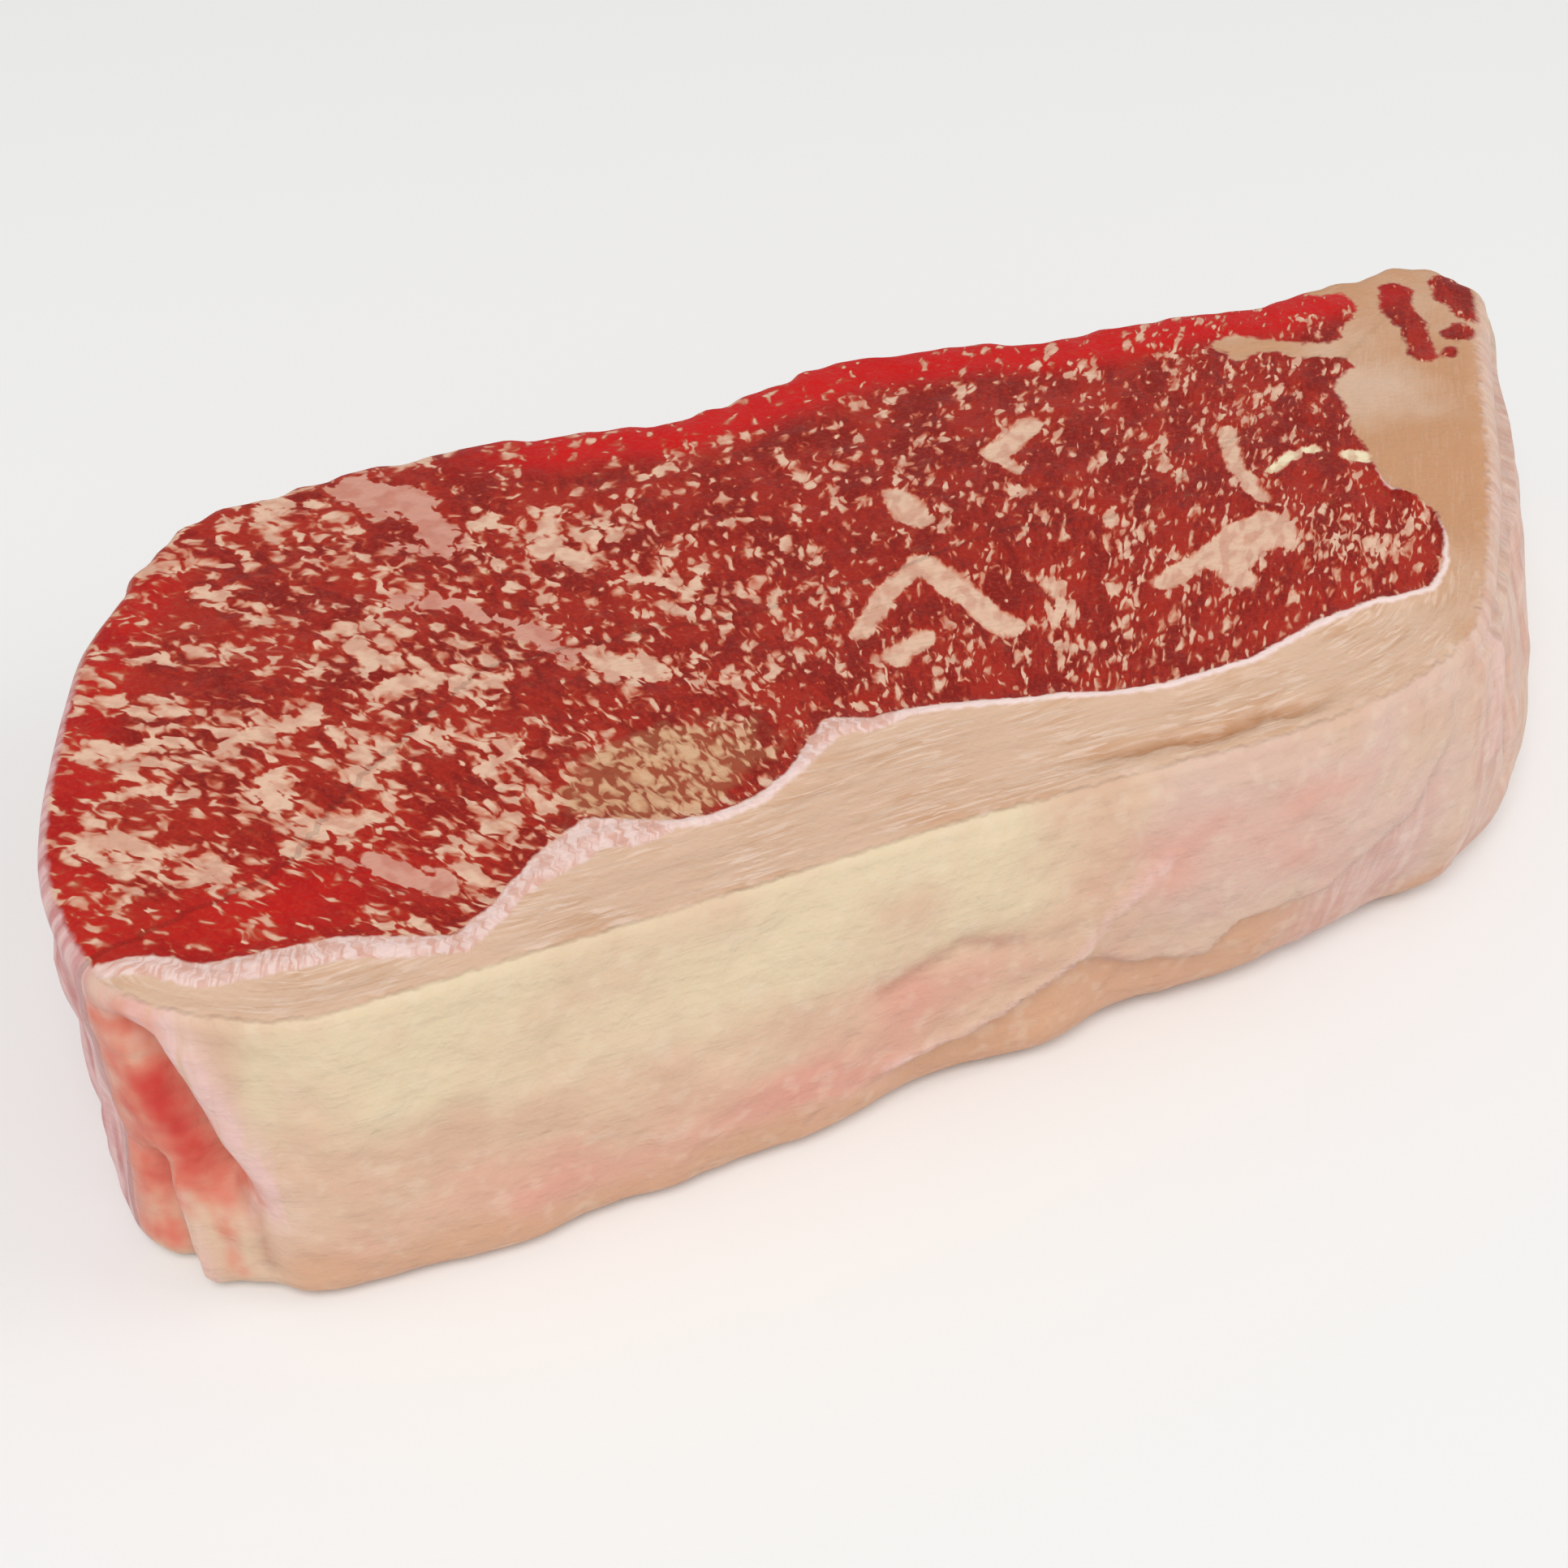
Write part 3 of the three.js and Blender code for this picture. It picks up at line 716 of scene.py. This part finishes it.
def face_tints(skin):
    """Where the cut faces are lean or fat, bright red, deep, tan or glazed."""
    x, y = skin.plan.T
    inset = np.abs(np.where(skin.down < 0, skin.down, np.maximum(skin.down - THICKNESS, 0)))
    round_ = 100 * skin.s / skin.rim.perimeter
    red = span(round_, 50, 4, 79, 4) * ease(1 - (inset - 3.5) / 6)
    red = np.maximum(red, 0.65 * spot(x, y, -80, -21, 15, 7))
    red = np.maximum(red, 0.5 * ease((round_ - 84) / 4) * ease(1 - (inset - 2) / 5))
    from_film = ((x + 41) / 11) ** 2 + ((y + 22) / 7) ** 2
    tanned = 0.7 * ease((x - 35) / 25) + 0.25 * smooth_noise(x / 9, y / 7, 41)
    tanned += 0.9 * spot(x, y, 64, -17, 9, 9) - 0.4 * spot(x, y, 68, 1, 8, 8)
    bundles = spot(x, y, 45, -23, 22, 8) + 0.2 * spot(x, y, 50, -4, 12, 8)
    bundles += 0.7 * spot(x, y, -5, -20, 26, 6) + 0.75 * ease((-15 - x) / 25)
    return {
        "red": red, "deep": 0.6 * spot(x, y, -5, 6, 55, 22), "film": np.exp(-(from_film**2)),
        "tanned": tanned, "bundles": 0.3 + 0.7 * np.minimum(bundles, 1.0) - 0.3 * lean_back(x, y),
        "islands": ease((-28 - x) / 25) * (1 - 0.6 * spot(x, y, -80, -21, 16, 7)),
        "lined": 1 - 0.8 * ease((x - 40) / 20), "silver": silver_width(x), "fatness": fatness(x, y),
        "pinkness": seam_field(x, y, PINK_SEAMS), "creamness": seam_field(x, y, CREAM_GLINTS),
        "face": skin.face, "cap": np.clip(skin.cap, -8, 8), "seam": skin.seam,
        "crisp": skin.crisp, "groove": skin.groove,
    }


def add_number(mesh, name, values):
    layer = mesh.attributes.new(name, "FLOAT", "POINT")
    layer.data.foreach_set("value", np.ascontiguousarray(values, dtype=np.float32))


def add_vector(mesh, name, values):
    layer = mesh.attributes.new(name, "FLOAT_VECTOR", "POINT")
    layer.data.foreach_set("vector", np.ascontiguousarray(values, dtype=np.float32).ravel())


def side_faces(rows):
    """Faces between the rows of the side, and the column that each one lies in."""
    faces, columns = [], []
    for row in range(rows - 1):
        for i in range(AROUND):
            a, b = row * AROUND + i, row * AROUND + (i + 1) % AROUND
            faces.append((a, a + AROUND, b + AROUND, b))
            columns.append(i)
    return faces, columns


def cut_faces(triangles, ring, inner):
    """Triangles of a cut face, given where the points of its ring and its inner points start."""
    return [[ring + k if k < AROUND else inner + k - AROUND for k in face] for face in triangles]


def bake_layout(mesh, skin, columns):
    """UV map in which the upper cut face gets the most room and the side lies in two strips."""
    layer = mesh.uv_layers.new(name="OFBake")
    loops = np.empty(len(mesh.loops), np.int32)
    mesh.loops.foreach_get("vertex_index", loops)
    totals = np.empty(len(mesh.polygons), np.int32)
    mesh.polygons.foreach_get("loop_total", totals)
    owner = np.repeat(np.arange(len(totals)), totals)
    side = owner < len(columns)
    under = owner >= len(columns) + len(skin.top_faces)
    top = ~side & ~under
    x, y = skin.points[loops, 0], skin.points[loops, 1]
    uv = np.empty((len(loops), 2))
    uv[top] = np.column_stack([x[top] + 102, y[top] + 49]) * TOP_ROOM + (MAP_MARGIN, 0.53)
    uv[under] = np.column_stack([y[under] + 50, x[under] + 102]) * UNDER_ROOM + (0.745, 0.015)
    place, row = loops[side] % AROUND, loops[side] // AROUND
    column = np.array(columns)[owner[side]]
    place = np.where((place == 0) & (column == AROUND - 1), AROUND, place)
    half = AROUND // 2
    strip = (column >= half).astype(int)
    u = (place - strip * half) / half * STRIP_LENGTH
    v = (1 - row / (skin.rows - 1)) * STRIP_HEIGHT + strip * STRIP_PITCH
    uv[side] = np.column_stack([u, v]) + MAP_MARGIN
    layer.data.foreach_set("uv", uv.astype(np.float32).ravel())


def steak_mesh(skin):
    faces, columns = side_faces(skin.rows)
    last_row = (skin.rows - 1) * AROUND
    faces += cut_faces(skin.top_faces, 0, skin.first_top)
    faces += [face[::-1] for face in cut_faces(skin.under_faces, last_row, skin.first_under)]
    mesh = bpy.data.meshes.new("steak_meat")
    places = skin.points - np.array([*MIDDLE, 0.0])
    mesh.from_pydata((places / 1000.0).tolist(), [], faces)
    mesh.validate()
    bake_layout(mesh, skin, columns)
    mesh.polygons.foreach_set("use_smooth", np.ones(len(mesh.polygons), bool))
    for name, values in {**side_tints(skin), **face_tints(skin)}.items():
        add_number(mesh, name, values)
    add_vector(mesh, "grain", grain_coordinates(*skin.plan.T, skin.points[:, 2]))
    add_vector(mesh, "skin", np.column_stack([skin.s, skin.down, 0 * skin.s]))
    mesh.update()
    return mesh


def tone(red, green, blue):
    """Linear colour from display values of 0 to 255."""
    shares = [value / 255 for value in (red, green, blue)]
    return tuple(((v + 0.055) / 1.055) ** 2.4 if v > 0.04 else v / 12.92 for v in shares)


class Graph:
    """Short ways to make and join shader nodes."""

    def __init__(self, material):
        self.tree = material.node_tree
        self.shader = self.tree.nodes["Principled BSDF"]

    def node(self, kind):
        return self.tree.nodes.new("ShaderNode" + kind)

    def put(self, socket, value):
        """Feeds a socket with a number, a display colour, a socket or a named number of the mesh."""
        if isinstance(value, str):
            value = self.attribute(value, "Fac")
        if isinstance(value, bpy.types.NodeSocket):
            self.tree.links.new(value, socket)
        elif isinstance(value, tuple):
            socket.default_value = (*tone(*value), 1.0)
        else:
            socket.default_value = value

    def attribute(self, name, output):
        node = self.node("Attribute")
        node.attribute_name = name
        return node.outputs[output]

    def join(self, operation, values):
        total = values[0]
        for value in values[1:]:
            node = self.node("Math")
            node.operation = operation
            self.put(node.inputs[0], total)
            self.put(node.inputs[1], value)
            total = node.outputs[0]
        return total

    def add(self, *values):
        return self.join("ADD", values)

    def minus(self, *values):
        return self.join("SUBTRACT", values)

    def times(self, *values):
        return self.join("MULTIPLY", values)

    def most(self, *values):
        return self.join("MAXIMUM", values)

    def step(self, value, low, high):
        """0 below low, 1 above high, smooth between."""
        node = self.node("MapRange")
        node.interpolation_type = "SMOOTHSTEP"
        self.put(node.inputs["Value"], value)
        self.put(node.inputs["From Min"], low)
        self.put(node.inputs["From Max"], high)
        return node.outputs["Result"]

    def scaled(self, vector, factors, shift):
        node = self.node("VectorMath")
        node.operation = "MULTIPLY_ADD"
        self.put(node.inputs[0], vector)
        node.inputs[1].default_value = (*factors, 1.0)[:3]
        node.inputs[2].default_value = (*shift, 0.0)[:3]
        return node.outputs[0]

    def noise_node(self, vector, factors, shift, detail):
        """Flat noise for two factors, noise in space for three."""
        node = self.node("TexNoise")
        node.noise_dimensions = "2D" if len(factors) == 2 else "3D"
        self.put(node.inputs["Vector"], self.scaled(vector, factors, shift))
        node.inputs["Scale"].default_value = 1.0
        node.inputs["Detail"].default_value = detail
        return node

    def noise(self, vector, factors, detail=1.0, roughness=0.6, distortion=0.0, shift=(0.0, 0.0)):
        node = self.noise_node(vector, factors, shift, detail)
        node.inputs["Roughness"].default_value = roughness
        node.inputs["Distortion"].default_value = distortion
        return node.outputs["Fac"]

    def speckle(self, place, scale, detail=1.0, roughness=0.6):
        """Noise that is the same in all directions."""
        return self.noise(place, (scale,) * 3, detail, roughness)

    def warp(self, vector, factors, amount):
        """The vector moved to and fro by a noise, by at most about this many units."""
        node = self.noise_node(vector, factors, (11.0, 5.0, 2.0), 1.0)
        push = self.scaled(node.outputs["Color"], (2 * amount,) * 3, (-amount,) * 3)
        total = self.node("VectorMath")
        self.put(total.inputs[0], vector)
        self.put(total.inputs[1], push)
        return total.outputs[0]

    def cells(self, vector, factors, shift=(0.0, 0.0), rounding=0.0):
        """Distance to the nearest of many scattered points, and a value of each point's own."""
        node = self.node("TexVoronoi")
        node.voronoi_dimensions = "2D"
        if rounding > 0:
            node.feature = "SMOOTH_F1"
            node.inputs["Smoothness"].default_value = rounding
        self.put(node.inputs["Vector"], self.scaled(vector, factors, shift))
        node.inputs["Scale"].default_value = 1.0
        return node.outputs["Distance"], node.outputs["Color"]

    def blend(self, factor, a, b):
        node = self.node("Mix")
        node.data_type = "RGBA"
        node.clamp_factor = True
        self.put(node.inputs["Factor"], factor)
        self.put(node.inputs[6], a)
        self.put(node.inputs[7], b)
        return node.outputs[2]


def lean_colour(graph, grain, place):
    """Brown-red muscle with fine fibres, brighter along the back and at the near left, with fine
    specks of painted glint.
    """
    blotch = graph.noise(grain, (0.16, 0.1))
    fibre = graph.noise(grain, (1.3, 0.55))
    depth = graph.step(graph.add(blotch, graph.times(fibre, 0.6)), 0.6, 1)
    colour = graph.blend(depth, (130, 22, 14), (164, 36, 22))
    colour = graph.blend(graph.times("deep", 0.4), colour, (122, 26, 16))
    colour = graph.blend(graph.times("red", 0.85), colour, (206, 8, 12))
    # Tiny pale specks: painted wet glints.
    painted_glint = graph.step(graph.speckle(place, 2400), 0.45, 0.75)
    return graph.blend(graph.times(painted_glint, 0.3), colour, (186, 66, 44))


def fat_colour(graph, grain, place, level):
    """Cream to pinkish fat of the marbling, rosier in small flecks and along its edges."""
    pale = graph.add(level, graph.times(graph.noise(grain, (0.4, 0.25), 1, 0.7), 0.6))
    colour = graph.blend(graph.step(pale, 0.22, 0.52), (204, 134, 108), (224, 186, 160))
    colour = graph.blend(graph.step("pinkness", -0.6, 0.6), colour, (208, 150, 132))
    colour = graph.blend(graph.step("creamness", -0.2, 0.4), colour, (240, 226, 188))
    fine = graph.step(graph.speckle(place, 900), 0.45, 0.7)
    return graph.blend(graph.times(fine, 0.25), colour, (200, 134, 110))


def marbling(graph, grain):
    """Height of the fat over the lean; it is fat above nothing, in units of about 2.5 mm."""
    warped = graph.warp(grain, (0.55, 0.4), 0.75)
    share = graph.times("fatness", 0.1)
    broad = graph.noise(warped, (0.2, 0.125), 1, 0.5, 0, (7, 3))
    ragged = graph.noise(warped, (1.25, 0.75))
    uneven = graph.add(graph.times(broad, 0.5), graph.times(ragged, 0.5), -0.5)
    rough = graph.times(uneven, 1.5)
    base = graph.add(uneven, graph.times(graph.step("seam", -1.4, 1.2), 0.2), share, -0.165)
    # Large blobs, and the fat between round islands of lean.
    far, own = graph.cells(warped, (0.47, 0.27), (0, 0), 0.3)
    large = graph.minus(graph.add(base, graph.times(own, 0.42)), graph.times(far, 0.85))
    round_islands = graph.add(far, rough, graph.times("islands", 0.45), share, -1.15)
    # Small blobs, and the net of fat between bundles of muscle.
    far, own = graph.cells(warped, (0.82, 0.42), (3, 9))
    small = graph.minus(graph.add(base, graph.times(own, 0.42)), graph.times(far, 0.7))
    small = graph.add(small, graph.times("islands", -0.16), -0.06)
    bundles = graph.times("bundles", 0.62)
    between = graph.add(far, rough, bundles, -1.235, graph.times("islands", -0.2))
    # Drawn seams, and the pieces with clean edges.
    edge = graph.times(graph.add(ragged, -0.5), 0.9)
    seam = graph.add("seam", graph.times(edge, 2.8), -0.95)
    drawn = graph.times(graph.most(graph.add("crisp", edge), seam), 0.42)
    return graph.most(large, small, between, round_islands, drawn)


def cap_colour(graph, skin, place):
    """Cut fat of the cap: beige with lengthwise streaks, the pale ones partly painted highlight, tan
    towards the tail, with painted shade in the groove.
    """
    streak = graph.step(graph.noise(skin, (0.11, 1.1), 2, 0.62, 0.6), 0.46, 0.68)
    pale_streak_and_glint = graph.step(graph.noise(skin, (0.22, 2.6), 1, 0.6, 0.4, (3, 5)), 0.5, 0.68)
    cloud = graph.speckle(place, 110, 2)
    lined = graph.times("lined", graph.step(cloud, 0.3, 0.65), 0.5)
    tanned = graph.add("tanned", graph.times(graph.minus(cloud, 0.5), 1.2))
    colour = graph.blend(graph.step(tanned, 0, 1), (212, 178, 152), (198, 148, 110))
    colour = graph.blend(graph.times(streak, lined), colour, (192, 144, 108))
    # Thin whitish streaks: pale fibres of the fat, partly painted highlight.
    colour = graph.blend(graph.times(pale_streak_and_glint, lined), colour, (236, 212, 196))
    # Darker brown along the groove: painted shade in that recess.
    return graph.blend(graph.times("groove", 0.75), colour, (170, 116, 74))


def side_colour(graph, skin, place):
    """The uncut side: creamy cap, rosy and tan patches, membrane at both ends, bloody cleft; painted
    highlight on raised folds, painted wet sheen, painted shade in sunken folds.
    """
    cloud = graph.speckle(place, 120, 2)
    soft = graph.speckle(place, 420)
    fibre = graph.noise(skin, (0.5, 0.08), 2)
    shift = graph.times(graph.minus(cloud, 0.5), 0.9)
    colour = graph.blend(graph.step(cloud, 0.3, 0.7), (210, 174, 148), (218, 188, 160))
    for name, uneven, low, high, strength, wash in [
        ("creamy", 0.6, 0.1, 0.9, 1, (220, 200, 168)),
        ("whitish", 0.5, 0, 1, 1, (212, 180, 166)),
        ("rosy", 0.5, 0.05, 1.1, 1, (216, 156, 138)),
        ("tan", 0.35, 0.15, 0.95, 0.8, (206, 158, 126)),
    ]:
        amount = graph.step(graph.add(name, graph.times(shift, uneven)), low, high)
        colour = graph.blend(graph.times(amount, strength), colour, wash)
    film = graph.blend(graph.step(fibre, 0.3, 0.7), (206, 160, 148), (220, 188, 178))
    colour = graph.blend(graph.times("right_skin", 0.8), colour, film)
    left = graph.blend(graph.step(fibre, 0.32, 0.68), (194, 130, 128), (222, 182, 180))
    colour = graph.blend("left_skin", colour, left)
    # Pale membrane on the lip and the skin's raised line, and painted highlight on raised folds.
    membrane_and_highlight = graph.times("membrane_and_highlight", graph.step(fibre, 0.2, 0.6))
    colour = graph.blend(membrane_and_highlight, colour, (226, 188, 180))
    uneven = graph.add(graph.times(shift, 0.5), graph.times(soft, 0.5), -0.25)
    blood = graph.add("blood", uneven)
    colour = graph.blend(graph.step(blood, 0.15, 0.75), colour, (216, 132, 110))
    colour = graph.blend(graph.step(blood, 0.5, 1.2), colour, (200, 62, 54))
    # Painted shade in the sunken folds and along the flap's edge.
    colour = graph.blend(graph.times("crease_shade", 0.6), colour, (150, 76, 62))
    # Pale cream patches away from the blood: painted wet sheen.
    painted_wet_sheen = graph.times(graph.step(soft, 0.5, 0.75), graph.step(blood, 0.5, 0.1), 0.22)
    return graph.blend(painted_wet_sheen, colour, (232, 214, 192))


def meat_colour(graph, grain, place):
    """Marbled lean, with a tan glaze over it near the cap."""
    level = marbling(graph, grain)
    border = graph.times(graph.step(level, -0.14, 0.01), 0.75)
    meat = graph.blend(border, lean_colour(graph, grain, place), (180, 70, 44))
    veiled = graph.noise(grain, (0.5, 0.35), 1, 0.5, 0, (5, 2))
    veiled = graph.add(0.72, graph.times(graph.step(veiled, 0.36, 0.56), 0.28))
    fat = graph.times(graph.step(level, -0.05, 0.08), veiled)
    meat = graph.blend(fat, meat, fat_colour(graph, grain, place, level))
    film = graph.times(graph.speckle(place, 420, 2), 1.8)
    film = graph.step(graph.add("film", film, -0.9), 0.15, 0.85)
    glazed = graph.step(graph.add(level, graph.times("film", 0.1)), -0.12, 0.06)
    glazed = graph.blend(glazed, (158, 84, 56), (208, 166, 126))
    return graph.blend(graph.times(film, 0.75), meat, glazed)


def silver_colour(graph, skin, cut, ragged):
    """The cut face's colour with the pale silver skin laid over it along the cap."""
    inward = graph.add("cap", graph.times(ragged, 0.35))
    outer = graph.step(graph.minus("silver", inward), 0, 0.5)
    silver = graph.times(graph.step(inward, -0.3, 0.2), outer)
    pale = graph.step(graph.noise(skin, (1.3, 0.35), 2), 0.3, 0.65)
    pale = graph.blend(pale, (214, 166, 150), (232, 204, 196))
    pale = graph.blend(graph.step("silver", 2.2, 1), pale, (240, 216, 210))
    return graph.blend(silver, cut, pale)


def meat_finish(graph, skin, place, edge):
    """Moist gloss in patches, slight depth, and fine relief."""
    gloss = graph.step(graph.speckle(place, 300), 0.3, 0.7)
    graph.put(graph.shader.inputs["Roughness"], graph.add(0.34, graph.times(gloss, 0.22)))
    fine = graph.times(graph.speckle(place, 1300), 0.6)
    streak = graph.times(graph.noise(skin, (0.2, 1.4), 2, 0.6, 0.4), 0.38)
    lumps = graph.speckle(place, 300, 1, 0.55)
    lumps = graph.times(lumps, graph.minus(1, edge), 2.8)
    bump = graph.node("Bump")
    bump.inputs["Strength"].default_value = 0.6
    bump.inputs["Distance"].default_value = 0.00035
    graph.put(bump.inputs["Height"], graph.add(fine, streak, lumps))
    graph.put(graph.shader.inputs["Normal"], bump.outputs["Normal"])
    for name, value in [
        ("IOR", 1.34), ("Specular IOR Level", 0.34), ("Subsurface Weight", 0.12),
        ("Subsurface Radius", (1.0, 0.35, 0.2)), ("Subsurface Scale", 0.0012),
    ]:
        graph.shader.inputs[name].default_value = value


def meat_material():
    material = bpy.data.materials.new("beef_flesh")
    material.use_nodes = True
    graph = Graph(material)
    place = graph.node("TexCoord").outputs["Object"]
    grain, skin = graph.attribute("grain", "Vector"), graph.attribute("skin", "Vector")
    ragged = graph.times(graph.minus(graph.speckle(place, 800), 0.5), 1.6)
    fat_cap = graph.step(graph.add("cap", ragged), -0.35, 0.35)
    cut = graph.blend(fat_cap, meat_colour(graph, grain, place), cap_colour(graph, skin, place))
    cut = silver_colour(graph, skin, cut, ragged)
    trimmed = graph.blend(0.25, cut, (170, 70, 66))
    side = graph.blend(graph.times("back", 0.85), side_colour(graph, skin, place), trimmed)
    edge = graph.step(graph.add("face", graph.times(ragged, 0.18)), 0.58, 0.84)
    graph.put(graph.shader.inputs["Base Color"], graph.blend(edge, side, cut))
    meat_finish(graph, skin, place, edge)
    return material


def new_object(name, data):
    thing = bpy.data.objects.new(name, data)
    bpy.context.scene.collection.objects.link(thing)
    return thing


def steak_object():
    meat = new_object("steak_meat", steak_mesh(Skin()))
    meat.data.materials.append(meat_material())
    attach(meat, "root")
    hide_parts("steak")


def floor(size=3.0, drop=0.0002):
    """Pale floor, just below the steak's lower face."""
    mesh = bpy.data.meshes.new("floor")
    corners = [(-size, -size), (size, -size), (size, size), (-size, size)]
    mesh.from_pydata([(x, y, -drop) for x, y in corners], [], [(0, 1, 2, 3)])
    material = bpy.data.materials.new("pale_floor")
    material.use_nodes = True
    shader = material.node_tree.nodes["Principled BSDF"]
    shader.inputs["Base Color"].default_value = (0.86, 0.86, 0.85, 1.0)
    shader.inputs["Roughness"].default_value = 0.9
    mesh.materials.append(material)
    ground = new_object("floor", mesh)


def light(name, place, size, power, target=(0.0, 0.0, 0.02)):
    lamp = bpy.data.lights.new(name, "AREA")
    lamp.shape = "DISK"
    lamp.size = size
    lamp.energy = power
    holder = new_object(name, lamp)
    holder.location = place
    direction = Vector(target) - Vector(place)
    holder.rotation_euler = direction.to_track_quat("-Z", "Y").to_euler()


def studio():
    world = bpy.data.worlds.new("studio")
    world.use_nodes = True
    sky = world.node_tree.nodes["Background"]
    sky.inputs["Color"].default_value = (1.0, 1.0, 1.0, 1.0)
    sky.inputs["Strength"].default_value = 0.48
    bpy.context.scene.world = world
    light("key", (-0.85, -1.15, 2.1), 1.7, 40.0)
    light("right_fill", (1.7, -1.0, 1.1), 1.2, 9.0)
    bpy.context.scene.view_settings.view_transform = "Standard"


def photo_camera():
    """The photo's own view, from quite close."""
    down, turn = math.radians(CAMERA_DOWN), math.radians(CAMERA_TURN)
    back = Vector((math.sin(turn) * math.cos(down), -math.cos(turn) * math.cos(down), math.sin(down)))
    right = Vector((math.cos(turn), math.sin(turn), 0.0))
    up = back.cross(right)
    target = (Vector(CAMERA_TARGET) - Vector((*MIDDLE, 0.0))) / 1000
    place = target + back * CAMERA_DISTANCE / 1000
    data = bpy.data.cameras.new("photo_view")
    data.sensor_width = 36.0
    data.lens = CAMERA_LENS
    data.clip_start = 0.01
    camera = new_object("photo_view", data)
    camera.matrix_world = Matrix((
        (right.x, up.x, back.x, place.x),
        (right.y, up.y, back.y, place.y),
        (right.z, up.z, back.z, place.z),
        (0.0, 0.0, 0.0, 1.0),
    ))
    bpy.context.scene.camera = camera


def main():
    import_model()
    steak_object()
    floor()
    studio()
    photo_camera()


main()
